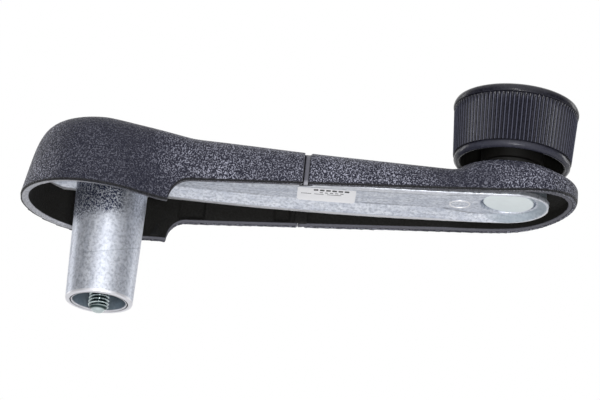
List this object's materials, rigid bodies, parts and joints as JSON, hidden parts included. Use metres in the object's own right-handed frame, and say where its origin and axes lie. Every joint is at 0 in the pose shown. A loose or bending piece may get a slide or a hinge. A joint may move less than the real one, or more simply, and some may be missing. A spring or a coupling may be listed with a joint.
{
  "type": "window crank operator",
  "caption": "Window crank handle: cast zinc arm with a tubular shank and captive screw, grained black cover with a flip-up hub section, and a ribbed turning knob.",
  "frame": {"origin": "centre of the shank's open end, on the hub axis, where the window regulator's spindle enters", "axes": "+X from the hub axis to the knob axis, +Z along the hub axis from the shank's open end towards the knob side, +Y completes the right-handed frame"},
  "size_m": [0.1613, 0.0456, 0.0777],
  "materials": {
    "cast_zinc": "as cast, satin",
    "grained_black": "leather grain",
    "smooth_black": "semi-gloss moulded",
    "plated_steel": "zinc plated",
    "natural_acetal": "moulded",
    "black_acetal": "moulded",
    "label_paper": "plain label"
  },
  "bodies": {
    "arm": {"arm_casting": "cast_zinc", "arm_cover": "grained_black", "hinge_film": "grained_black", "part_label": "label_paper", "knob_stud": "plated_steel", "knob_thrust_washer": "black_acetal", "knob_wave_washer": "plated_steel", "knob_top_washer": "plated_steel", "knob_retaining_ring": "plated_steel"},
    "flap": {"screw_cover": "grained_black"},
    "screw_carrier": {"screw_washer": "plated_steel", "screw_lock_washer": "plated_steel"},
    "screw": {"mounting_screw": "plated_steel", "screw_retainer": "natural_acetal"},
    "knob": {"knob_body": "smooth_black", "knob_cap": "smooth_black", "knob_bushing": "black_acetal"}
  },
  "joints": [
    {"name": "knob_spin", "type": "hinge", "parent": "arm", "child": "knob", "pos_m": [0.115, 0, 0.0567], "axis": [0, 0, 1], "continuous": true},
    {"name": "screw_cover_flip", "type": "hinge", "parent": "arm", "child": "flap", "pos_m": [0.05565, 0, 0.0473], "axis": [0, 1, 0], "range_deg": [0, 90]},
    {"name": "screw_lift", "type": "slide", "parent": "arm", "child": "screw_carrier", "axis": [0, 0, 1], "range_m": [0, 0.0018]},
    {"name": "screw_spin", "type": "hinge", "parent": "screw_carrier", "child": "screw", "pos_m": [0, 0, 0.0374], "axis": [0, 0, 1], "continuous": true}
  ]
}
